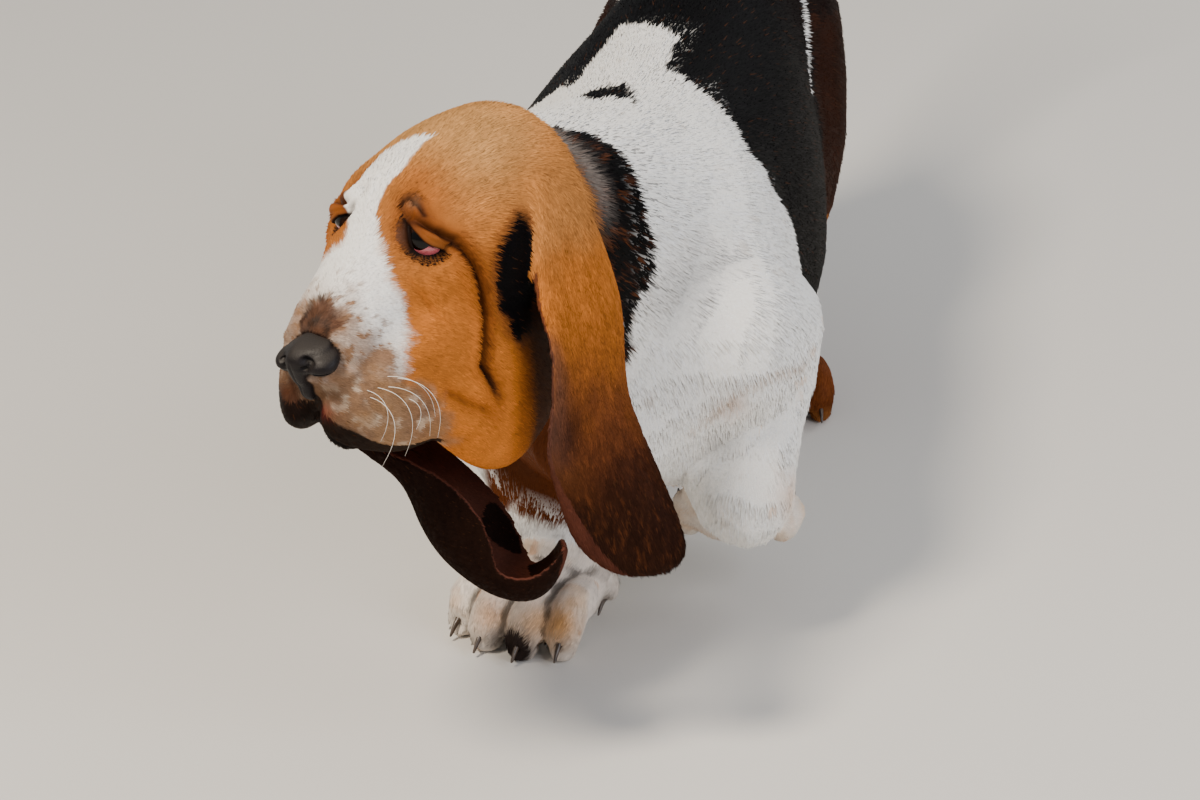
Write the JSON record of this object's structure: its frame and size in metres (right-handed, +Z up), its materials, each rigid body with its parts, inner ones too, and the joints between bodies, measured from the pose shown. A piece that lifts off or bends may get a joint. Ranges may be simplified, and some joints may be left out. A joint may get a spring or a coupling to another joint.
{
  "type": "basset hound",
  "caption": "Life-size basset hound in mid step, near foreleg lifted, head turned to its right, long ears hanging, tail up.",
  "frame": {"origin": "on the floor under the middle of the whole hound, from nose to tail tip and from side to side", "axes": "+Z up, +Y from the head to the tail, +X to the hound's own left"},
  "size_m": [0.3012, 1.0333, 0.5456],
  "materials": {
    "white_coat": "short smooth white fur",
    "black_coat": "short glossy black fur",
    "tan_coat": "short warm tan fur",
    "brown_coat": "short dark brown fur",
    "nose_leather": "moist black pebbled skin",
    "claw_horn": "dark polished horn",
    "eye": "wet dark brown eye"
  },
  "bodies": {
    "root": {"ear_left": "brown_coat", "ear_right": "brown_coat", "eye_left": "eye", "eye_right": "eye", "foreclaw_left_1": "claw_horn", "foreclaw_left_2": "claw_horn", "foreclaw_left_3": "claw_horn", "foreclaw_left_4": "claw_horn", "foreclaw_left_5": "claw_horn", "foreclaw_right_1": "claw_horn", "foreclaw_right_2": "claw_horn", "foreclaw_right_3": "claw_horn", "foreclaw_right_4": "claw_horn", "foreclaw_right_5": "claw_horn", "foreleg_left": "white_coat", "foreleg_right": "white_coat", "forepaw_left": "white_coat", "forepaw_right": "white_coat", "head": "tan_coat", "hindclaw_left_1": "claw_horn", "hindclaw_left_2": "claw_horn", "hindclaw_left_3": "claw_horn", "hindclaw_left_4": "claw_horn", "hindclaw_right_1": "claw_horn", "hindclaw_right_2": "claw_horn", "hindclaw_right_3": "claw_horn", "hindclaw_right_4": "claw_horn", "hindpaw_left": "white_coat", "hindpaw_right": "white_coat", "lower_jaw": "tan_coat", "lower_leg_left": "brown_coat", "lower_leg_right": "brown_coat", "neck": "white_coat", "nose": "nose_leather", "tail": "white_coat", "thigh_left": "brown_coat", "thigh_right": "brown_coat", "torso": "black_coat"}
  },
  "joints": []
}
